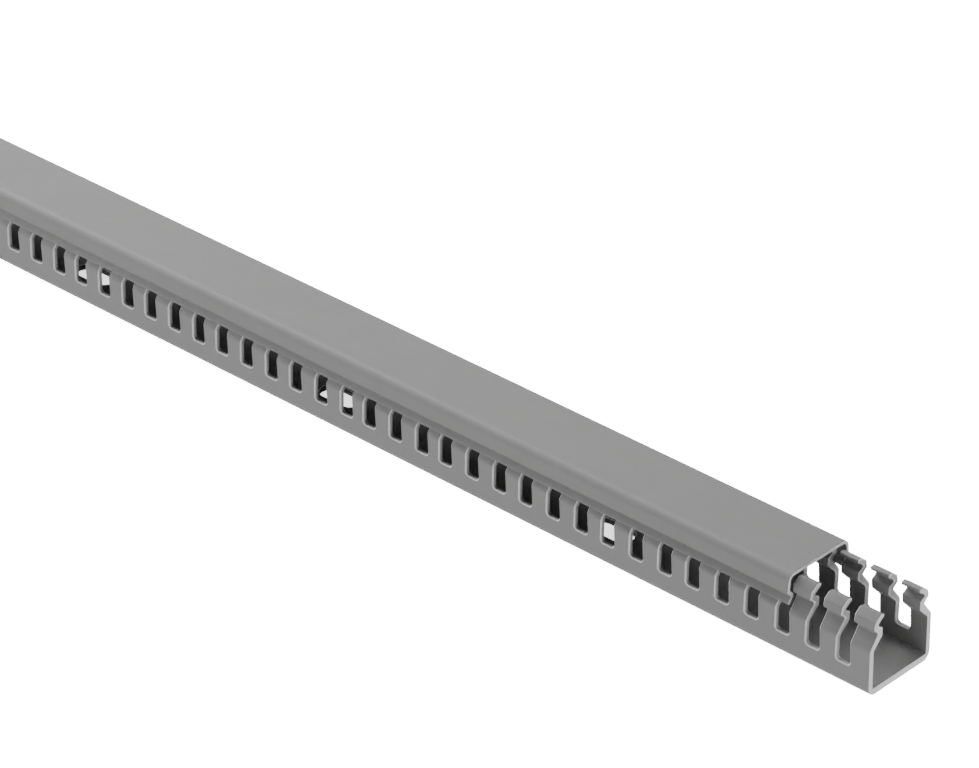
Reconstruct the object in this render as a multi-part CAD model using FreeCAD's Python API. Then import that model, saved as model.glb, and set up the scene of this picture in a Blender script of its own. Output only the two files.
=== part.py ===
import FreeCAD, Part
import math
import os

# Slotted wire duct: a U-shaped channel with finger walls, and the cover that hooks over the fingers.
# X runs along the duct, Y across it and Z up. The origin is the middle of the channel's underside.
# In a section, a point is (inset, height): how far in from the channel's side, and how high up.

# Channel
ductLength = 500.0
ductWidth = 25.0
floorThickness = 2.1
wallThickness = 1.6
cornerRadius = 2.7

# Finger section, up the outside of the wall; a drop is measured down from the crown
crownHeight = 23.9
crownInset = 4.0
tipDrop = 0.3
tipInset = 5.4
tipThickness = 0.9
shoulderDrop = 1.8
shoulderInset = 1.8
ledgeDrop = 4.1
ledgeInset = 1.4
neckDrop = 5.7
neckInset = 3.3
kinkDrop = 10.1
bulgeInset = 4.9
bulgeTopDrop = 4.4
bulgeBottomDrop = 6.9
bulgeRadius = 0.7

# Finger slots, punched through both walls three at a time
slotWidth = 5.0
slotBottom = 6.8
slotCornerChamfer = 0.7
slotsPerStroke = 3
punchPitch = 10.25
strokeFeed = 30.14
openEndFinger = 6.6
shortestFinger = 3.0

# Screw slots along the middle of the floor
screwSlotWidth = 7.8
screwSlotLength = 15.6
screwSlotPitch = 104.3
firstScrewSlot = 100.3
screwSlotEndMargin = 5.0

# Cover, which follows the finger's section at one clearance
coverLength = 500.0
coverSetback = 27.7
coverThickness = 1.0
coverFit = 0.25
crownClearance = 0.3
coverCornerRadius = 2.4
coverCornerInset = 0.5
coverBendRadius = 0.3
seatInset = 1.05
lipInset = 0.45


def unit(start, end):
    """Direction from one section point to the next."""
    run = end[0] - start[0]
    rise = end[1] - start[1]
    length = math.hypot(run, rise)
    return run / length, rise / length


def inward(direction):
    """Normal on the right of an upward path, which is the inside of the wall."""
    return direction[1], -direction[0]


def offsetPath(path, distance):
    """The same path moved inward by a distance, with its corners kept sharp."""
    normals = [inward(unit(a, b)) for a, b in zip(path, path[1:])]
    moved = []
    for index, point in enumerate(path):
        before = normals[max(index - 1, 0)]
        after = normals[min(index, len(normals) - 1)]
        dot = before[0] * after[0] + before[1] * after[1]
        shift = distance / (1.0 + dot)
        moved.append((point[0] + shift * (before[0] + after[0]), point[1] + shift * (before[1] + after[1])))
    return moved


def tangentLength(previous, corner, following, radius):
    """How far from a corner its rounding starts."""
    into = unit(previous, corner)
    out = unit(corner, following)
    turn = math.acos(max(-1.0, min(1.0, into[0] * out[0] + into[1] * out[1])))
    return radius * math.tan(turn / 2.0)


def roundedOutline(corners, place):
    """Closed wire through (point, radius) corners, where each corner is a tangent arc or is sharp."""
    count = len(corners)
    edges = []
    starts = []
    ends = []
    middles = []
    for index in range(count):
        point, radius = corners[index]
        previous = corners[index - 1][0]
        following = corners[(index + 1) % count][0]
        reach = tangentLength(previous, point, following, radius)
        into = unit(previous, point)
        out = unit(point, following)
        starts.append((point[0] - reach * into[0], point[1] - reach * into[1]))
        ends.append((point[0] + reach * out[0], point[1] + reach * out[1]))
        if reach > 0.0:
            across = unit(point, ((starts[-1][0] + ends[-1][0]) / 2.0, (starts[-1][1] + ends[-1][1]) / 2.0))
            depth = math.hypot(reach, radius) - radius
            middles.append((point[0] + depth * across[0], point[1] + depth * across[1]))
        else:
            middles.append(None)
    for index in range(count):
        if middles[index]:
            edges.append(Part.Arc(place(starts[index]), place(middles[index]), place(ends[index])).toShape())
        edges.append(Part.LineSegment(place(ends[index]), place(starts[(index + 1) % count])).toShape())
    return Part.Wire(edges)


def mirrored(half):
    """The corners of the near half, then the same corners on the far half in reverse."""
    return half + [((ductWidth - point[0], point[1]), radius) for point, radius in reversed(half)]


def extruded(corners, start, length):
    """Solid of a section, from a place along X."""
    def place(point):
        return FreeCAD.Vector(start, ductWidth / 2.0 - point[0], point[1])
    return Part.Face(roundedOutline(corners, place)).extrude(FreeCAD.Vector(length, 0, 0))


def fingerPath():
    """Outside of the wall, from the kink up to the finger's tip."""
    return [
        (0.0, crownHeight - kinkDrop),
        (neckInset, crownHeight - neckDrop),
        (ledgeInset, crownHeight - ledgeDrop),
        (shoulderInset, crownHeight - shoulderDrop),
        (crownInset, crownHeight),
        (tipInset, crownHeight - tipDrop),
    ]


def channelCorners():
    """Section of the channel: floor, walls and S-shaped fingers of one thickness, but for a bulge inside the neck."""
    outside = [(0.0, 0.0)] + fingerPath()
    inside = offsetPath(outside, wallThickness)
    tipDown = inward(unit(outside[-2], outside[-1]))
    tipUnderside = (outside[-1][0] + tipThickness * tipDown[0], outside[-1][1] + tipThickness * tipDown[1])
    half = [(outside[0], cornerRadius)]
    half += [(point, 0.0) for point in outside[1:]]
    half += [(tipUnderside, 0.0)]
    half += [(inside[5], 0.0), (inside[4], 0.0), (inside[3], 0.0)]
    half += [((bulgeInset, crownHeight - bulgeTopDrop), bulgeRadius)]
    half += [((bulgeInset, crownHeight - bulgeBottomDrop), bulgeRadius), (inside[1], 0.0)]
    half += [((wallThickness, floorThickness), 0.0)]
    return mirrored(half)


def fingerSlotPlaces():
    """Distance of each finger slot's near edge from the open end."""
    places = []
    stroke = 0
    while True:
        for strike in range(slotsPerStroke):
            place = openEndFinger + stroke * strokeFeed + strike * punchPitch
            if place + slotWidth + shortestFinger > ductLength:
                return places
            places.append(place)
        stroke += 1


def fingerSlotCutter(place):
    """One punch: it goes through both walls and is open at the top."""
    low = ductLength / 2.0 - place - slotWidth
    high = low + slotWidth
    top = crownHeight + floorThickness
    corners = [
        (low, slotBottom + slotCornerChamfer),
        (low + slotCornerChamfer, slotBottom),
        (high - slotCornerChamfer, slotBottom),
        (high, slotBottom + slotCornerChamfer),
        (high, top),
        (low, top),
    ]
    points = [FreeCAD.Vector(x, -ductWidth, z) for x, z in corners]
    return Part.Face(Part.makePolygon(points, True)).extrude(FreeCAD.Vector(0, 2.0 * ductWidth, 0))


def screwSlotCutter(centre):
    """One obround screw slot through the floor."""
    radius = screwSlotWidth / 2.0
    reach = screwSlotLength / 2.0 - radius
    below = -floorThickness
    left = centre - reach
    right = centre + reach

    def at(x, y):
        return FreeCAD.Vector(x, y, below)
    edges = [
        Part.LineSegment(at(left, -radius), at(right, -radius)).toShape(),
        Part.Arc(at(right, -radius), at(right + radius, 0), at(right, radius)).toShape(),
        Part.LineSegment(at(right, radius), at(left, radius)).toShape(),
        Part.Arc(at(left, radius), at(left - radius, 0), at(left, -radius)).toShape(),
    ]
    return Part.Face(Part.Wire(edges)).extrude(FreeCAD.Vector(0, 0, 3.0 * floorThickness))


def screwSlotCentres():
    """Middle of each screw slot, counted from the open end, as far as whole ones fit."""
    room = ductLength - screwSlotEndMargin - screwSlotLength / 2.0 - firstScrewSlot
    count = int(room // screwSlotPitch) + 1
    return [ductLength / 2.0 - firstScrewSlot - index * screwSlotPitch for index in range(count)]


def slottedChannel():
    channel = extruded(channelCorners(), -ductLength / 2.0, ductLength)
    cutters = [fingerSlotCutter(place) for place in fingerSlotPlaces()]
    cutters += [screwSlotCutter(centre) for centre in screwSlotCentres()]
    return channel.cut(Part.makeCompound(cutters))


def heightBeside(start, end, distance, inset):
    """Height, at an inset, of the line that runs outside a stretch of the finger at a distance."""
    direction = unit(start, end)
    normal = inward(direction)
    beside = (start[0] - distance * normal[0], start[1] - distance * normal[1])
    return beside[1] + (inset - beside[0]) * direction[1] / direction[0]


def coverCorners():
    """Section of the cover: flat top, sides that hook under the fingers' ledge, and a flared lip."""
    kink, neck, ledge = fingerPath()[:3]
    outset = coverFit + coverThickness
    outside = [
        (lipInset, heightBeside(kink, neck, outset, lipInset)),
        (seatInset, heightBeside(kink, neck, outset, seatInset)),
        (seatInset, heightBeside(neck, ledge, outset, seatInset)),
        (0.0, heightBeside(neck, ledge, outset, 0.0)),
        (coverCornerInset, crownHeight + crownClearance + coverThickness),
        (ductWidth / 2.0, crownHeight + crownClearance + coverThickness),
    ]
    inside = offsetPath(outside, coverThickness)
    outerRadii = [0.0, coverBendRadius, coverBendRadius, coverBendRadius, coverCornerRadius]
    innerRadii = [0.0, 0.0, 0.0, 0.0, coverCornerRadius - coverThickness]
    outer = mirrored(list(zip(outside, outerRadii)))
    inner = mirrored(list(zip(inside, innerRadii)))
    return outer + inner[::-1]


def ductCover():
    openEnd = ductLength / 2.0 - coverSetback
    return extruded(coverCorners(), openEnd - coverLength, coverLength)


def main():
    os.makedirs("parts", exist_ok=True)
    slottedChannel().exportStep("parts/slotted_channel.step")
    ductCover().exportStep("parts/duct_cover.step")


main()
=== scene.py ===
import math

import bpy
from mathutils import Matrix, Vector


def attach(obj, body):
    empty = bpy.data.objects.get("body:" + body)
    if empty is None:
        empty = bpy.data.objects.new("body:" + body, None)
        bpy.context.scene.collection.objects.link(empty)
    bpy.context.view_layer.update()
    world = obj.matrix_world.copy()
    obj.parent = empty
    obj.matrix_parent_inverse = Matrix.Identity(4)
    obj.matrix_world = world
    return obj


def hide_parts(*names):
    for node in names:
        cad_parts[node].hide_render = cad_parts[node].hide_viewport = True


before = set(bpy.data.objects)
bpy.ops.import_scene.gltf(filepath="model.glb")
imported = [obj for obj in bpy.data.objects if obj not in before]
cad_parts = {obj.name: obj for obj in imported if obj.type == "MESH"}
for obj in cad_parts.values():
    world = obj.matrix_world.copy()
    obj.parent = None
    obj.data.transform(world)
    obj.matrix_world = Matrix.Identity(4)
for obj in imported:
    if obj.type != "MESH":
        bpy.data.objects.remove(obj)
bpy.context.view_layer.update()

mm = 0.001
arcStep = 11.0                 # degrees between the points of a rounded corner
mergeDistance = 0.001 * mm     # joins a pushed run to the face that closes it
endMargin = 0.01 * mm          # a face this near the duct's end is a sawn one


def linearColour(code):
    # sRGB hex to the linear colour that the shader wants
    parts = [int(code[i:i + 2], 16) / 255 for i in (1, 3, 5)]
    return [p / 12.92 if p <= 0.04045 else ((p + 0.055) / 1.055) ** 2.4 for p in parts]


def addNode(tree, kind, settings=None, feeds=None):
    # feeds: socket name or number -> a fixed value, or the output socket that drives it
    node = tree.nodes.new(kind)
    for name, value in (settings or {}).items():
        setattr(node, name, value)
    for socket, value in (feeds or {}).items():
        if isinstance(value, bpy.types.NodeSocket):
            tree.links.new(value, node.inputs[socket])
        else:
            node.inputs[socket].default_value = value
    return node


pvcFinish = {
    "channelColour": "#888888",
    "coverColour": "#888888",
    "cutColour": "#b9b9b9",
    "rimColour": "#f4f4f4",
    "sawnColour": "#eaeaea",
    "ior": 1.53,
    "roughness": 0.5,
    "lineGloss": 0.16,         # how much the roughness varies with the die's lines
    "grainGloss": 0.06,        # and with the grain
    "cutRoughness": 0.55,
    "sawnRoughness": 0.6,
    # marks, in mm; the real ones are finer, and these are as coarse as they need to show
    "dieLineWidth": 0.45,      # between the lines that the die leaves along the duct
    "dieLineLength": 90.0,     # that one line runs
    "dieLineDepth": 0.012,
    "mottleSize": 14.0,        # across the faint cloudiness of the pigment
    "grainSize": 0.35,         # the satin skin
    "grainDepth": 0.006,
    "shearPitch": 0.22,        # between the shear lines in a punched slot
    "shearDepth": 0.03,
    "shearStretch": 0.12,      # a shear line's width as a share of its length
    "sawPitch": 0.45,          # between the saw's marks on the ends
    "sawDepth": 0.02,
    "sawCentre": (0.0, 0.02, 0.13),    # m from the saw's axle to the duct's middle
    # the darkest and the lightest share of the base colour
    "skinTones": (0.975, 1.025),
    "cutTones": (0.93, 1.06),
    "sawnTones": (0.95, 1.04),
}
noiseLow, noiseHigh = 0.3, 0.7     # a noise texture's value seldom leaves these
waveAtOne = 0.314                  # m between the rings of a wave texture at scale 1


def newMaterial(name):
    # the material, its tree, its shader and the piece's own coordinates
    material = bpy.data.materials.new(name)
    material.use_nodes = True
    tree = material.node_tree
    shader = tree.nodes["Principled BSDF"]
    shader.inputs["IOR"].default_value = pvcFinish["ior"]
    return material, tree, shader, addNode(tree, "ShaderNodeTexCoord").outputs["Object"]


def extrudedPvc(name, colour):
    # Rigid PVC pushed through a steel die and drawn through a calibrator: one even pigment,
    # a satin skin, and hair-thin lines that run the whole length and stretch every highlight.
    material, tree, shader, place = newMaterial(name)
    across = 1.0 / (pvcFinish["dieLineWidth"] * mm)
    along = 1.0 / (pvcFinish["dieLineLength"] * mm)
    stretched = addNode(tree, "ShaderNodeMapping", feeds={
        "Vector": place, "Scale": (along, across, across)})
    dieLines = addNode(tree, "ShaderNodeTexNoise", feeds={
        "Vector": stretched.outputs[0], "Scale": 1.0, "Detail": 3.0, "Roughness": 0.65})
    mottle = addNode(tree, "ShaderNodeTexNoise", feeds={
        "Vector": place, "Scale": 1.0 / (pvcFinish["mottleSize"] * mm), "Detail": 4.0, "Roughness": 0.6})
    grain = addNode(tree, "ShaderNodeTexNoise", feeds={
        "Vector": place, "Scale": 1.0 / (pvcFinish["grainSize"] * mm), "Detail": 2.0, "Roughness": 0.5})

    # colour: the base, a shade lighter and darker with the lines and the cloudiness
    dark, light = pvcFinish["skinTones"]
    lineTone, mottleTone = (addNode(tree, "ShaderNodeMapRange", feeds={
        "Value": pattern.outputs[0], "From Min": noiseLow, "From Max": noiseHigh,
        "To Min": dark, "To Max": light}) for pattern in (dieLines, mottle))
    tone = addNode(tree, "ShaderNodeMath", {"operation": "MULTIPLY"}, {
        0: lineTone.outputs[0], 1: mottleTone.outputs[0]})
    tinted = addNode(tree, "ShaderNodeVectorMath", {"operation": "SCALE"}, {
        0: linearColour(colour), "Scale": tone.outputs[0]})
    tree.links.new(tinted.outputs[0], shader.inputs["Base Color"])

    # roughness: the lines are a little more polished than the skin between them
    gloss = addNode(tree, "ShaderNodeMath", {"operation": "MULTIPLY_ADD"}, {
        0: dieLines.outputs[0], 1: pvcFinish["lineGloss"],
        2: pvcFinish["roughness"] - pvcFinish["lineGloss"] / 2})
    skin = addNode(tree, "ShaderNodeMath", {"operation": "MULTIPLY_ADD"}, {
        0: grain.outputs[0], 1: pvcFinish["grainGloss"], 2: gloss.outputs[0]})
    tree.links.new(skin.outputs[0], shader.inputs["Roughness"])

    lineRelief = addNode(tree, "ShaderNodeBump", feeds={
        "Strength": 0.5, "Distance": pvcFinish["dieLineDepth"] * mm, "Height": dieLines.outputs[0]})
    skinRelief = addNode(tree, "ShaderNodeBump", feeds={
        "Strength": 0.35, "Distance": pvcFinish["grainDepth"] * mm, "Height": grain.outputs[0],
        "Normal": lineRelief.outputs[0]})
    tree.links.new(skinRelief.outputs[0], shader.inputs["Normal"])
    return material


def markCut(tree, shader, marks, tone, colour, strength, depth, roughness):
    # a cut surface: its marks vary the colour and stand in slight relief
    tinted = addNode(tree, "ShaderNodeVectorMath", {"operation": "SCALE"}, {
        0: linearColour(colour), "Scale": tone.outputs[0]})
    tree.links.new(tinted.outputs[0], shader.inputs["Base Color"])
    relief = addNode(tree, "ShaderNodeBump", feeds={
        "Strength": strength, "Distance": depth * mm, "Height": marks.outputs[0]})
    tree.links.new(relief.outputs[0], shader.inputs["Normal"])
    shader.inputs["Roughness"].default_value = roughness


def punchedPvc(name, colour):
    # Where the punch sheared through: paler than the skin, dull, with fine lines in the
    # direction of the stroke, which is across the duct. The rim it bends is stress whitened.
    material, tree, shader, place = newMaterial(name)
    pitch = 1.0 / (pvcFinish["shearPitch"] * mm)
    stretched = addNode(tree, "ShaderNodeMapping", feeds={
        "Vector": place, "Scale": (pitch, pitch * pvcFinish["shearStretch"], pitch)})
    shear = addNode(tree, "ShaderNodeTexNoise", feeds={
        "Vector": stretched.outputs[0], "Scale": 1.0, "Detail": 3.0, "Roughness": 0.7})
    dark, light = pvcFinish["cutTones"]
    tone = addNode(tree, "ShaderNodeMapRange", feeds={
        "Value": shear.outputs[0], "From Min": noiseLow, "From Max": noiseHigh,
        "To Min": dark, "To Max": light})
    markCut(tree, shader, shear, tone, colour, 0.6, pvcFinish["shearDepth"], pvcFinish["cutRoughness"])
    return material


def sawnPvc(name, colour):
    # The ends, cut to length with a fine circular saw: the palest surface, matt, with
    # close arcs from the blade that show as thin stripes.
    material, tree, shader, place = newMaterial(name)
    fromAxle = addNode(tree, "ShaderNodeMapping", feeds={
        "Vector": place, "Location": pvcFinish["sawCentre"]})
    arcs = addNode(tree, "ShaderNodeTexWave", {"wave_type": "RINGS", "rings_direction": "X"}, {
        "Vector": fromAxle.outputs[0], "Scale": waveAtOne / (pvcFinish["sawPitch"] * mm),
        "Distortion": 1.5, "Detail": 2.0, "Detail Scale": 3.0})
    dark, light = pvcFinish["sawnTones"]
    tone = addNode(tree, "ShaderNodeMapRange", feeds={
        "Value": arcs.outputs[0], "To Min": dark, "To Max": light})
    markCut(tree, shader, arcs, tone, colour, 0.5, pvcFinish["sawDepth"], pvcFinish["sawnRoughness"])
    return material


channelPvc = extrudedPvc("extrudedRigidPvcChannel", pvcFinish["channelColour"])
coverPvc = extrudedPvc("extrudedRigidPvcCover", pvcFinish["coverColour"])
cutPvc = punchedPvc("punchedRigidPvc", pvcFinish["cutColour"])
rimPvc = punchedPvc("whitenedRigidPvcRim", pvcFinish["rimColour"])
endPvc = sawnPvc("sawnRigidPvc", pvcFinish["sawnColour"])
print("materials ready")


# sections: a corner is (inset, height, rounding) in mm, and the inset counts from the duct's side

def offsetLine(line, distance):
    # the same run of points moved into the wall, with sharp corners
    normals = []
    for (x0, z0), (x1, z1) in zip(line, line[1:]):
        length = math.hypot(x1 - x0, z1 - z0)
        normals.append(((z1 - z0) / length, (x0 - x1) / length))
    moved = []
    for index, (x, z) in enumerate(line):
        before, after = normals[max(index - 1, 0)], normals[min(index, len(normals) - 1)]
        shift = distance / (1.0 + before[0] * after[0] + before[1] * after[1])
        moved.append((x + shift * (before[0] + after[0]), z + shift * (before[1] + after[1])))
    return moved


def heightBeside(start, end, distance, inset):
    # height, at an inset, of the line that runs outside a stretch of the finger
    dx, dz = end[0] - start[0], end[1] - start[1]
    length = math.hypot(dx, dz)
    x, z = start[0] - distance * dz / length, start[1] + distance * dx / length
    return z + (inset - x) * dz / dx


def withFarHalf(half, width):
    # the near half's corners, then the far half's in reverse
    return half + [(width - x, z, rounding) for x, z, rounding in reversed(half)]


def roundedLoop(corners):
    # closed run of points with an arc at each corner
    points = []
    for index, (x, z, radius) in enumerate(corners):
        corner = Vector((x, z))
        into = (corner - Vector(corners[index - 1][:2])).normalized()
        out = (Vector(corners[(index + 1) % len(corners)][:2]) - corner).normalized()
        turn = into.angle(out)
        if turn < 0.01:    # as good as straight
            points.append(corner)
            continue
        reach = radius * math.tan(turn / 2)
        start = corner - into * reach
        centre = corner + (out - into).normalized() * math.hypot(radius, reach)
        steps = max(2, math.ceil(math.degrees(turn) / arcStep))
        spin = math.copysign(turn, into.x * out.y - into.y * out.x)
        for step in range(steps + 1):
            arm = start - centre
            arm.rotate(Matrix.Rotation(spin * step / steps, 2))
            points.append(centre + arm)
    return points


def sectionFace(name, corners, width, place):
    # one face across the duct, at a place along it, that looks the way it will be pushed
    rows = [(place * mm, (width / 2 - p.x) * mm, p.y * mm) for p in roundedLoop(corners)]
    mesh = bpy.data.meshes.new(name)
    mesh.from_pydata(rows, [], [list(range(len(rows)))])
    if mesh.polygons[0].normal.x > 0:
        mesh.flip_normals()
    piece = bpy.data.objects.new(name, mesh)
    bpy.context.scene.collection.objects.link(piece)
    return piece


def newTree(name, inputs):
    # a geometry tree from a section to a duct, with a named input for each size and material
    tree = bpy.data.node_groups.new(name, "GeometryNodeTree")
    tree.interface.new_socket("Section", in_out="INPUT", socket_type="NodeSocketGeometry")
    for label, value in inputs.items():
        kind = "Int" if isinstance(value, int) else "Float" if isinstance(value, float) else "Material"
        socket = tree.interface.new_socket(label, in_out="INPUT", socket_type="NodeSocket" + kind)
        socket.default_value = value
    tree.interface.new_socket("Duct", in_out="OUTPUT", socket_type="NodeSocketGeometry")
    return tree


def useTree(piece, tree, inputs):
    # sets the inputs by the sockets' identifiers, before anything is evaluated
    modifier = piece.modifiers.new(tree.name, "NODES")
    modifier.node_group = tree
    for item in tree.interface.items_tree:
        if item.item_type == "SOCKET" and item.in_out == "INPUT" and item.name in inputs:
            modifier[item.identifier] = inputs[item.name]


def pushFace(tree, face, direction, distance):
    # pushes a face into a closed solid, whose start is the same face turned over
    pushed = addNode(tree, "GeometryNodeExtrudeMesh", {"mode": "FACES"}, {
        "Mesh": face, "Offset": direction, "Offset Scale": distance, "Individual": False})
    start = addNode(tree, "GeometryNodeFlipFaces", feeds={"Mesh": face})
    both = addNode(tree, "GeometryNodeJoinGeometry")
    tree.links.new(pushed.outputs["Mesh"], both.inputs[0])
    tree.links.new(start.outputs[0], both.inputs[0])
    return addNode(tree, "GeometryNodeMergeByDistance", feeds={
        "Geometry": both.outputs[0], "Distance": mergeDistance}).outputs[0]


def punchTool(tree, width, topWidth, height, rounding, depth):
    # a closed punch with rounded corners: a filled outline, pushed along Z
    outline = addNode(tree, "GeometryNodeCurvePrimitiveQuadrilateral", {"mode": "TRAPEZOID"}, {
        "Bottom Width": width, "Top Width": topWidth, "Offset": 0.0, "Height": height})
    rounded = addNode(tree, "GeometryNodeFilletCurve", {"mode": "POLY"}, {
        "Curve": outline.outputs[0], "Radius": rounding, "Count": 7, "Limit Radius": True})
    filled = addNode(tree, "GeometryNodeFillCurve", {"mode": "NGONS"}, {"Curve": rounded.outputs[0]})
    return pushFace(tree, filled.outputs[0], (0.0, 0.0, 1.0), depth)


def finishedMesh(piece, name, materials, edgeRounding, rimWidth=0.0, sharpAngle=50.0):
    # whitens the rims, breaks the edges, evens the shading, and swaps the piece for its plain mesh
    for material in materials:
        piece.data.materials.append(material)
    if rimWidth:
        rim = piece.modifiers.new("whitenedRims", "BEVEL")
        rim.width = rimWidth * mm
        rim.segments = 1
        rim.limit_method = "WEIGHT"
        rim.use_clamp_overlap = False
        rim.material = materials.index(rimPvc)
    rounding = piece.modifiers.new("brokenEdges", "BEVEL")
    rounding.width = edgeRounding * mm
    rounding.segments = 2
    rounding.limit_method = "ANGLE"
    rounding.angle_limit = math.radians(sharpAngle)
    rounding.use_clamp_overlap = False
    piece.modifiers.new("evenShading", "WEIGHTED_NORMAL")
    evaluated = piece.evaluated_get(bpy.context.evaluated_depsgraph_get())
    mesh = bpy.data.meshes.new_from_object(evaluated)
    mesh.name = name
    bpy.data.objects.remove(piece)
    solid = bpy.data.objects.new(name, mesh)
    bpy.context.scene.collection.objects.link(solid)
    return solid


channelSizes = {
    "length": 500.0,
    "width": 25.0,
    "floor": 2.1,
    "wall": 1.6,
    # outside of the wall, from the bottom corner up: inset, height, rounding
    "corner": (0.0, 0.0, 2.7),
    "kink": (0.0, 14.2, 1.8),
    "neck": (3.2, 18.5, 0.6),
    "ledge": (1.4, 20.1, 0.45),
    "shoulder": (1.8, 22.2, 0.8),
    "crown": (4.0, 23.9, 0.6),
    "tip": (5.4, 23.6, 0.3),
    "tipThickness": 0.9,
    "bulgeTop": (4.9, 19.7, 0.75),     # the rib inside the neck
    "bulgeBottom": (4.9, 17.2, 0.9),
    "innerRoundings": {"tip": 0.25, "crown": 0.5, "shoulder": 0.4, "ledge": 0.4, "kink": 1.2, "floor": 0.3},
    "slotWidth": 4.7,
    "slotBottom": 7.1,
    "slotRounding": 1.0,
    "slotTaper": 0.07,                 # narrows by this much for each mm up
    "punchHeight": 40.0,               # reaches well past the fingers' tips
    "punchSkew": 0.8,                  # the far wall's slots sit this much nearer the open end
    "openEndFinger": 6.6,
    "shortestFinger": 3.0,
    "punchPitch": 10.25,
    "slotsPerStroke": 3,
    "strokes": 17,
    "strokeFeed": 30.14,
    # how far each stroke of three landed past its mark, from the open end
    "feedSlips": (-0.15, 0.77, 0.9, 0.9, 1.07, 0.55, -0.05, 0.15, 0.27, 0.42, 0.35),
    "screwSlotWidth": 7.1,             # its rims open it to 7.8 by 15.6
    "screwSlotLength": 14.9,
    "screwPunchDepth": 10.0,           # half of it above the underside
    "firstScrewSlot": 100.3,
    "screwSlotPitch": 104.3,
    "screwSlots": 4,
    "edgeRounding": 0.1,
    "rimWidth": 0.35,                  # whitened rim round each punched slot
}


def channelHalf(size):
    # near half of the section: up the outside, over the tip and down the inside
    names = ("corner", "kink", "neck", "ledge", "shoulder", "crown", "tip")
    outside = [size[name] for name in names]
    line = [corner[:2] for corner in outside]
    inside = dict(zip(names, offsetLine(line, size["wall"])))
    share = size["tipThickness"] / size["wall"]
    underTip = tuple(above + share * (below - above) for above, below in zip(line[-1], inside["tip"]))
    rounding = size["innerRoundings"]
    half = outside + [underTip + (rounding["tip"],)]
    half += [inside[name] + (rounding[name],) for name in ("crown", "shoulder", "ledge")]
    half += [size["bulgeTop"], size["bulgeBottom"], inside["kink"] + (rounding["kink"],)]
    return half + [(size["wall"], size["floor"], rounding["floor"])]


def fingerPlaces(tree, given, halfLength, feedSlips):
    # a point under the middle of each finger slot, stroke by stroke from the open end
    count = addNode(tree, "ShaderNodeMath", {"operation": "MULTIPLY"}, {
        0: given["Strokes"], 1: given["Slots per stroke"]})
    line = addNode(tree, "GeometryNodeMeshLine", feeds={"Count": count.outputs[0]})
    number = addNode(tree, "GeometryNodeInputIndex")
    group = addNode(tree, "ShaderNodeMath", {"operation": "DIVIDE"}, {
        0: number.outputs[0], 1: given["Slots per stroke"]})
    stroke = addNode(tree, "ShaderNodeMath", {"operation": "FLOOR"}, {0: group.outputs[0]})
    strike = addNode(tree, "ShaderNodeMath", {"operation": "MODULO"}, {
        0: number.outputs[0], 1: given["Slots per stroke"]})
    slip = addNode(tree, "GeometryNodeIndexSwitch", {"data_type": "FLOAT"}, {"Index": stroke.outputs[0]})
    for index, amount in enumerate(feedSlips):
        if index >= len(slip.index_switch_items):
            slip.index_switch_items.new()
        slip.inputs[index + 1].default_value = amount * mm

    # from the open end to the slot's near edge, and from there to its middle
    firstEdge = addNode(tree, "ShaderNodeMath", {"operation": "ADD"}, {
        0: given["Open end finger"], 1: slip.outputs[0]})
    fed = addNode(tree, "ShaderNodeMath", {"operation": "MULTIPLY_ADD"}, {
        0: stroke.outputs[0], 1: given["Stroke feed"], 2: firstEdge.outputs[0]})
    edge = addNode(tree, "ShaderNodeMath", {"operation": "MULTIPLY_ADD"}, {
        0: strike.outputs[0], 1: given["Punch pitch"], 2: fed.outputs[0]})
    middle = addNode(tree, "ShaderNodeMath", {"operation": "MULTIPLY_ADD"}, {
        0: given["Slot width"], 1: 0.5, 2: edge.outputs[0]})
    along = addNode(tree, "ShaderNodeMath", {"operation": "SUBTRACT"}, {
        0: halfLength, 1: middle.outputs[0]})
    spot = addNode(tree, "ShaderNodeCombineXYZ", feeds={"X": along.outputs[0]})

    # a slot that would leave the last finger too short isn't punched
    needed = addNode(tree, "ShaderNodeMath", {"operation": "ADD"}, {
        0: given["Slot width"], 1: given["Shortest finger"]})
    lastEdge = addNode(tree, "ShaderNodeMath", {"operation": "SUBTRACT"}, {
        0: given["Length"], 1: needed.outputs[0]})
    tooFar = addNode(tree, "FunctionNodeCompare", {"data_type": "FLOAT", "operation": "GREATER_THAN"}, {
        0: edge.outputs[0], 1: lastEdge.outputs[0]})
    marked = addNode(tree, "GeometryNodeCaptureAttribute", {"domain": "POINT"}, {"Geometry": line.outputs[0]})
    marked.capture_items.new("BOOLEAN", "Too far")
    tree.links.new(tooFar.outputs[0], marked.inputs["Too far"])
    placed = addNode(tree, "GeometryNodeSetPosition", feeds={
        "Geometry": marked.outputs["Geometry"], "Position": spot.outputs[0]})
    kept = addNode(tree, "GeometryNodeDeleteGeometry", {"domain": "POINT"}, {
        "Geometry": placed.outputs[0], "Selection": marked.outputs["Too far"]})
    return kept.outputs[0]


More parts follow.
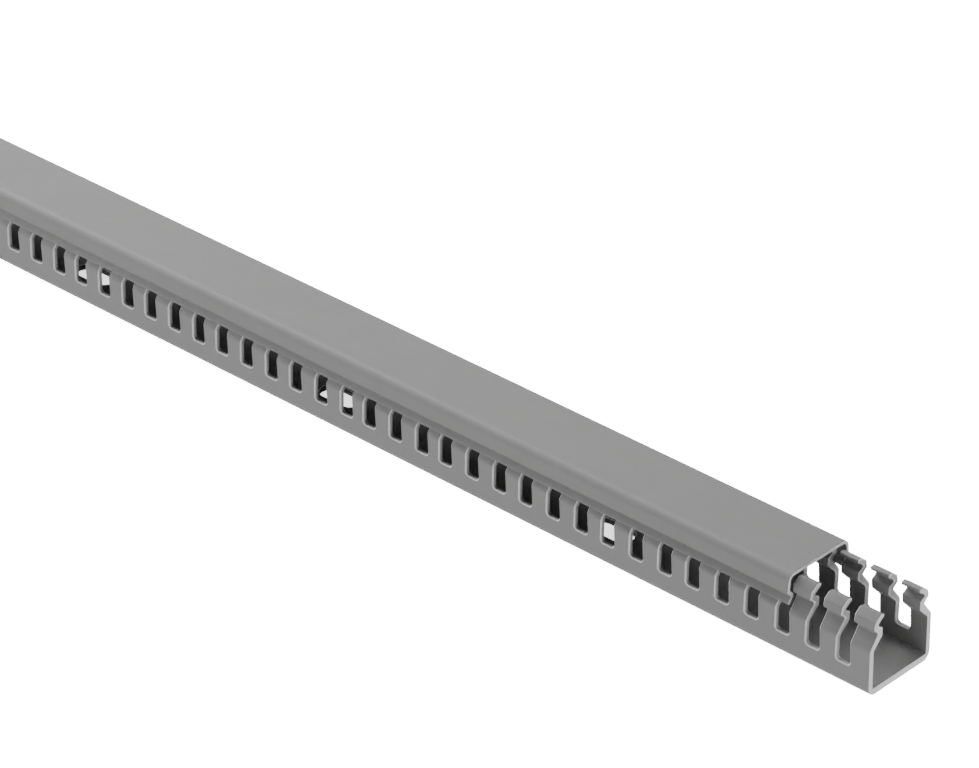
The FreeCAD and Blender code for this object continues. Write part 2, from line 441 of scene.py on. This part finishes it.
def fingerPunch(tree, given, height):
    # goes through both walls from the far side, and is open at the fingers' tips
    depth = addNode(tree, "ShaderNodeMath", {"operation": "MULTIPLY"}, {0: given["Width"], 1: 2.0})
    topWidth = addNode(tree, "ShaderNodeMath", {"operation": "MULTIPLY_ADD"}, {
        0: given["Slot taper"], 1: -height, 2: given["Slot width"]})
    punch = punchTool(tree, given["Slot width"], topWidth.outputs[0], height, given["Slot rounding"],
                      depth.outputs[0])
    lifted = addNode(tree, "ShaderNodeMath", {"operation": "ADD"}, {
        0: given["Slot bottom"], 1: height / 2})
    # it stands a little askew: true at the near wall, one and a half widths from where it starts
    ahead = addNode(tree, "ShaderNodeMath", {"operation": "MULTIPLY"}, {0: given["Punch skew"], 1: 1.5})
    slope = addNode(tree, "ShaderNodeMath", {"operation": "DIVIDE"}, {
        0: given["Punch skew"], 1: given["Width"]})
    askew = addNode(tree, "ShaderNodeMath", {"operation": "MULTIPLY"}, {0: slope.outputs[0], 1: -1.0})
    turn = addNode(tree, "ShaderNodeCombineXYZ", feeds={"X": math.pi / 2, "Z": askew.outputs[0]})
    seat = addNode(tree, "ShaderNodeCombineXYZ", feeds={
        "X": ahead.outputs[0], "Y": given["Width"], "Z": lifted.outputs[0]})
    upright = addNode(tree, "GeometryNodeTransform", feeds={
        "Geometry": punch, "Rotation": turn.outputs[0], "Translation": seat.outputs[0]})
    return upright.outputs[0]


def screwPunches(tree, given, halfLength, depth):
    # round-ended punches down the middle of the floor
    first = addNode(tree, "ShaderNodeMath", {"operation": "SUBTRACT"}, {
        0: halfLength, 1: given["First screw slot"]})
    start = addNode(tree, "ShaderNodeCombineXYZ", feeds={"X": first.outputs[0], "Z": -depth / 2})
    step = addNode(tree, "ShaderNodeMath", {"operation": "MULTIPLY"}, {
        0: given["Screw slot pitch"], 1: -1.0})
    offset = addNode(tree, "ShaderNodeCombineXYZ", feeds={"X": step.outputs[0]})
    line = addNode(tree, "GeometryNodeMeshLine", feeds={
        "Count": given["Screw slots"], "Start Location": start.outputs[0], "Offset": offset.outputs[0]})
    # a hair under half the width, so that no side of the outline shrinks to nothing
    rounding = addNode(tree, "ShaderNodeMath", {"operation": "MULTIPLY"}, {
        0: given["Screw slot width"], 1: 0.4999})
    punch = punchTool(tree, given["Screw slot length"], given["Screw slot length"],
                      given["Screw slot width"], rounding.outputs[0], depth)
    punches = addNode(tree, "GeometryNodeInstanceOnPoints", feeds={
        "Points": line.outputs[0], "Instance": punch})
    return punches.outputs[0]


def buildChannel(size):
    inputs = {
        "Length": size["length"] * mm, "Width": size["width"] * mm,
        "Slot width": size["slotWidth"] * mm, "Slot bottom": size["slotBottom"] * mm,
        "Slot rounding": size["slotRounding"] * mm, "Slot taper": size["slotTaper"],
        "Punch skew": size["punchSkew"] * mm, "Open end finger": size["openEndFinger"] * mm,
        "Shortest finger": size["shortestFinger"] * mm, "Punch pitch": size["punchPitch"] * mm,
        "Slots per stroke": size["slotsPerStroke"], "Strokes": size["strokes"],
        "Stroke feed": size["strokeFeed"] * mm, "Screw slot width": size["screwSlotWidth"] * mm,
        "Screw slot length": size["screwSlotLength"] * mm, "First screw slot": size["firstScrewSlot"] * mm,
        "Screw slot pitch": size["screwSlotPitch"] * mm, "Screw slots": size["screwSlots"],
        "Skin": channelPvc, "Cut": cutPvc, "Sawn": endPvc}
    tree = newTree("punchedChannel", inputs)
    given = addNode(tree, "NodeGroupInput").outputs
    bar = pushFace(tree, given["Section"], (-1.0, 0.0, 0.0), given["Length"])
    halfLength = addNode(tree, "ShaderNodeMath", {"operation": "MULTIPLY"}, {
        0: given["Length"], 1: 0.5}).outputs[0]
    fingerPunches = addNode(tree, "GeometryNodeInstanceOnPoints", feeds={
        "Points": fingerPlaces(tree, given, halfLength, size["feedSlips"]),
        "Instance": fingerPunch(tree, given, size["punchHeight"] * mm)})
    punches = addNode(tree, "GeometryNodeJoinGeometry")
    tree.links.new(fingerPunches.outputs[0], punches.inputs[0])
    tree.links.new(screwPunches(tree, given, halfLength, size["screwPunchDepth"] * mm), punches.inputs[0])
    solidPunches = addNode(tree, "GeometryNodeRealizeInstances", feeds={"Geometry": punches.outputs[0]})
    punchMark = addNode(tree, "GeometryNodeStoreNamedAttribute", {"data_type": "FLOAT", "domain": "FACE"}, {
        "Geometry": solidPunches.outputs[0], "Name": "punched", "Value": 1.0})
    punched = addNode(tree, "GeometryNodeMeshBoolean", {"operation": "DIFFERENCE", "solver": "EXACT"}, {
        "Mesh 1": bar, "Mesh 2": punchMark.outputs[0]})

    # an edge between a punched face and the skin reads half, and gets the wide whitened rim
    isPunched = addNode(tree, "GeometryNodeInputNamedAttribute", {"data_type": "FLOAT"}, {"Name": "punched"})
    isRim = addNode(tree, "ShaderNodeMath", {"operation": "COMPARE"}, {
        0: isPunched.outputs[0], 1: 0.5, 2: 0.2})
    rimmed = addNode(tree, "GeometryNodeStoreNamedAttribute", {"data_type": "FLOAT", "domain": "EDGE"}, {
        "Geometry": punched.outputs[0], "Name": "bevel_weight_edge", "Value": isRim.outputs[0]})
    smooth = addNode(tree, "GeometryNodeSetShadeSmooth", feeds={"Geometry": rimmed.outputs[0]})
    whole = addNode(tree, "GeometryNodeRealizeInstances", feeds={"Geometry": smooth.outputs[0]})
    skinned = addNode(tree, "GeometryNodeSetMaterial", feeds={
        "Geometry": whole.outputs[0], "Material": given["Skin"]})
    cutFaces = addNode(tree, "GeometryNodeSetMaterial", feeds={
        "Geometry": skinned.outputs[0], "Selection": isPunched.outputs[0], "Material": given["Cut"]})

    # the two sawn ends, by their distance from the middle
    position = addNode(tree, "GeometryNodeInputPosition")
    at = addNode(tree, "ShaderNodeSeparateXYZ", feeds={0: position.outputs[0]})
    farOut = addNode(tree, "ShaderNodeMath", {"operation": "ABSOLUTE"}, {0: at.outputs["X"]})
    endLine = addNode(tree, "ShaderNodeMath", {"operation": "SUBTRACT"}, {0: halfLength, 1: endMargin})
    isEnd = addNode(tree, "FunctionNodeCompare", {"data_type": "FLOAT", "operation": "GREATER_THAN"}, {
        0: farOut.outputs[0], 1: endLine.outputs[0]})
    ends = addNode(tree, "GeometryNodeSetMaterial", feeds={
        "Geometry": cutFaces.outputs[0], "Selection": isEnd.outputs[0], "Material": given["Sawn"]})
    addNode(tree, "NodeGroupOutput", feeds={0: ends.outputs[0]})

    corners = withFarHalf(channelHalf(size), size["width"])
    piece = sectionFace("channelSection", corners, size["width"], size["length"] / 2)
    useTree(piece, tree, inputs)
    return finishedMesh(piece, "punchedChannel", (channelPvc, cutPvc, endPvc, rimPvc),
                        size["edgeRounding"], size["rimWidth"])


channel = buildChannel(channelSizes)
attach(channel, "channel")
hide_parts("slotted_channel")
print("channel ready:", len(channel.data.polygons), "faces")


coverSizes = {
    "length": 500.0,
    "setback": 27.7,           # from the channel's open end to the cover's
    "thickness": 1.0,
    "fit": 0.25,               # between the fingers and the cover's sides
    "top": 25.2,
    "cornerInset": 0.5,
    "cornerRounding": 2.4,
    "bendRounding": 0.3,       # outside of the jogs
    "innerBendRounding": 0.25,
    "seatInset": 1.4,          # where the sides run in under the ledge
    "lipInset": 0.1,
    "lipRounding": 0.2,
    "edgeRounding": 0.1,
}


def coverHalf(size, channelSize):
    # near half of the section, outside and inside, each from the lip up to the top's corner
    kink, neck, ledge = (channelSize[name][:2] for name in ("kink", "neck", "ledge"))
    outset = size["fit"] + size["thickness"]
    outside = [
        (size["lipInset"], heightBeside(kink, neck, outset, size["lipInset"])),
        (size["seatInset"], heightBeside(kink, neck, outset, size["seatInset"])),
        (size["seatInset"], heightBeside(neck, ledge, outset, size["seatInset"])),
        (0.0, heightBeside(neck, ledge, outset, 0.0)),
        (size["cornerInset"], size["top"]),
        (channelSize["width"] / 2, size["top"])]
    inside = offsetLine(outside, size["thickness"])
    lip, bend, corner = size["lipRounding"], size["bendRounding"], size["cornerRounding"]
    outerRoundings = (lip, bend, bend, bend, corner)
    bend = size["innerBendRounding"]
    innerRoundings = (lip, bend, bend, bend, corner - size["thickness"])
    outer = [point + (rounding,) for point, rounding in zip(outside[:5], outerRoundings)]
    inner = [point + (rounding,) for point, rounding in zip(inside[:5], innerRoundings)]
    return outer, inner


def buildCover(size, channelSize):
    inputs = {"Length": size["length"] * mm, "Skin": coverPvc, "Sawn": endPvc}
    tree = newTree("sweptCover", inputs)
    given = addNode(tree, "NodeGroupInput").outputs
    bar = pushFace(tree, given["Section"], (-1.0, 0.0, 0.0), given["Length"])
    smooth = addNode(tree, "GeometryNodeSetShadeSmooth", feeds={"Geometry": bar})
    whole = addNode(tree, "GeometryNodeRealizeInstances", feeds={"Geometry": smooth.outputs[0]})
    skinned = addNode(tree, "GeometryNodeSetMaterial", feeds={
        "Geometry": whole.outputs[0], "Material": given["Skin"]})

    # the two sawn ends are the faces that look along the duct
    normal = addNode(tree, "GeometryNodeInputNormal")
    facing = addNode(tree, "ShaderNodeSeparateXYZ", feeds={0: normal.outputs[0]})
    lengthwise = addNode(tree, "ShaderNodeMath", {"operation": "ABSOLUTE"}, {0: facing.outputs["X"]})
    isEnd = addNode(tree, "FunctionNodeCompare", {"data_type": "FLOAT", "operation": "GREATER_THAN"}, {
        0: lengthwise.outputs[0], 1: 0.9})
    ends = addNode(tree, "GeometryNodeSetMaterial", feeds={
        "Geometry": skinned.outputs[0], "Selection": isEnd.outputs[0], "Material": given["Sawn"]})
    addNode(tree, "NodeGroupOutput", feeds={0: ends.outputs[0]})

    width = channelSize["width"]
    outer, inner = coverHalf(size, channelSize)
    corners = withFarHalf(outer, width) + withFarHalf(inner, width)[::-1]
    piece = sectionFace("coverSection", corners, width, channelSize["length"] / 2 - size["setback"])
    useTree(piece, tree, inputs)
    return finishedMesh(piece, "hookedCover", (coverPvc, endPvc), size["edgeRounding"])


cover = buildCover(coverSizes, channelSizes)
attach(cover, "cover")
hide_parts("duct_cover")
print("cover ready:", len(cover.data.polygons), "faces")


studio = {
    "tableReach": 12.0,                 # m to the sheet's edges, where it turns up into white walls
    "tableDrop": 0.0006,                # m that it lies below the duct
    "tableWhite": 16.0,                 # how bright it looks
    "paintedShadow": 1.9,                  # how bright the painted shadow under the duct looks, which the screw slots show
    "shadeAcross": (7.0, 11.0),         # mm from the duct's middle where the painted shadow fades out
    "shadeAlong": (240.0, 249.0),
    # place, point that it faces, width and depth in m, brightness
    "panels": {
        # the light that the white sheet throws back, from round the duct but not from under it
        "bounceFront": ((0.0, -1.0125, -0.002), (0.0, -1.0125, 1.0), 4.0, 2.0, 1.25),
        "bounceBack": ((0.0, 1.0125, -0.002), (0.0, 1.0125, 1.0), 4.0, 2.0, 0.9),
        "bounceEnd": ((1.125, 0.0, -0.002), (1.125, 0.0, 1.0), 1.75, 0.025, 1.25),
        # the lamps
        "overhead": ((-0.3, 0.35, 1.1), (0.0, 0.0, 0.0), 1.4, 1.0, 2.6),
        "left": ((-1.1, 0.1, 0.8), (0.0, 0.0, 0.0), 0.8, 1.2, 4.0),
        "leftEnd": ((-1.6, 0.1, 0.5), (-0.1, 0.0, 0.0), 0.8, 0.5, 5.0),
        "leftBack": ((-1.4, 1.0, 0.8), (-0.1, 0.0, 0.0), 1.0, 0.8, 1.0),
        "leftFront": ((-1.2, -1.0, 0.5), (-0.1, 0.0, 0.0), 0.9, 0.4, 2.8),
        "end": ((1.3, 0.1, 0.5), (0.2, 0.0, 0.0), 0.7, 0.4, 6.6),
        "front": ((0.0, -1.3, 0.5), (0.0, 0.0, 0.0), 2.0, 0.4, 0.9),
        "farLeft": ((-1.6, -0.4, 0.5), (-0.1, 0.0, 0.0), 0.9, 0.5, 7.0),
    },
    "lens": 164.24,                     # mm
    "sensorWidth": 36.0,                # mm
    "azimuth": 44.061,                  # degrees round from straight in front
    "elevation": 30.996,
    "roll": -0.905,
    "openEnd": (0.25, 0.0, 0.0),
    "offset": (-0.105875, 0.075986, 1.154587),   # m right, up and back from the open end
}


def buildTable(values):
    # a white sheet that shows its own white, with a painted shadow, dimmer white, where the duct stands on it
    reach = values["tableReach"]
    square = [(-reach, -reach), (reach, -reach), (reach, reach), (-reach, reach)]
    rows = [(x, y, -values["tableDrop"]) for x, y in square] + [(x, y, reach) for x, y in square]
    walls = [(side, (side + 1) % 4, (side + 1) % 4 + 4, side + 4) for side in range(4)]
    mesh = bpy.data.meshes.new("table")
    mesh.from_pydata(rows, [], [(0, 1, 2, 3)] + walls)
    table = bpy.data.objects.new("table", mesh)
    bpy.context.scene.collection.objects.link(table)

    white = bpy.data.materials.new("whiteTable")
    white.use_nodes = True
    tree = white.node_tree
    shader = tree.nodes["Principled BSDF"]
    shader.inputs["Base Color"].default_value = (0.9, 0.9, 0.9, 1.0)
    shader.inputs["Roughness"].default_value = 0.9
    shader.inputs["Emission Color"].default_value = (1.0, 1.0, 1.0, 1.0)
    spot = addNode(tree, "ShaderNodeTexCoord").outputs["Object"]
    sides = addNode(tree, "ShaderNodeVectorMath", {"operation": "ABSOLUTE"}, {0: spot})
    apart = addNode(tree, "ShaderNodeSeparateXYZ", feeds={0: sides.outputs[0]})
    beside, beyond = (addNode(tree, "ShaderNodeMapRange", feeds={
        "Value": apart.outputs[axis], "From Min": values[key][0] * mm, "From Max": values[key][1] * mm})
        for axis, key in (("Y", "shadeAcross"), ("X", "shadeAlong")))
    # painted shadow: near the duct's middle line the emission drops from the sheet's white to the shadow's
    # brightness
    clear = addNode(tree, "ShaderNodeMath", {"operation": "MAXIMUM"}, {
        0: beside.outputs[0], 1: beyond.outputs[0]})
    shown = addNode(tree, "ShaderNodeMapRange", feeds={
        "Value": clear.outputs[0], "To Min": values["paintedShadow"], "To Max": values["tableWhite"]})
    tree.links.new(shown.outputs[0], shader.inputs["Emission Strength"])
    mesh.materials.append(white)

    # it lights nothing itself: the bounce panels do that for it
    table.visible_diffuse = False
    table.visible_glossy = False
    table.visible_shadow = False


def addPanel(name, place, aim, width, depth, radiance):
    # a soft light panel of a given brightness, turned towards a point
    light = bpy.data.lights.new(name, "AREA")
    light.shape = "RECTANGLE"
    light.size = width
    light.size_y = depth
    light.energy = radiance * math.pi * width * depth
    lamp = bpy.data.objects.new(name, light)
    bpy.context.scene.collection.objects.link(lamp)
    turn = (Vector(aim) - Vector(place)).to_track_quat("-Z", "Y")
    lamp.matrix_world = Matrix.Translation(place) @ turn.to_matrix().to_4x4()
    lamp.visible_camera = False


def placeCamera(values):
    camera = bpy.data.objects.new("camera", bpy.data.cameras.new("camera"))
    bpy.context.scene.collection.objects.link(camera)
    camera.data.lens = values["lens"]
    camera.data.sensor_width = values["sensorWidth"]
    around, lift, roll = (math.radians(values[key]) for key in ("azimuth", "elevation", "roll"))
    back = Vector((math.sin(around) * math.cos(lift), -math.cos(around) * math.cos(lift), math.sin(lift)))
    level = Vector((math.cos(around), math.sin(around), 0.0))
    upright = back.cross(level)
    right = level * math.cos(roll) + upright * math.sin(roll)
    up = upright * math.cos(roll) - level * math.sin(roll)
    toRight, toUp, toBack = values["offset"]
    place = Vector(values["openEnd"]) + right * toRight + up * toUp + back * toBack
    camera.matrix_world = Matrix.Translation(place) @ Matrix((right, up, back)).transposed().to_4x4()
    bpy.context.scene.camera = camera


buildTable(studio)
for name, panel in studio["panels"].items():
    addPanel(name, *panel)
room = bpy.data.worlds.new("room")
room.use_nodes = True
room.node_tree.nodes["Background"].inputs["Strength"].default_value = 0.0
bpy.context.scene.world = room
placeCamera(studio)
print("studio ready")
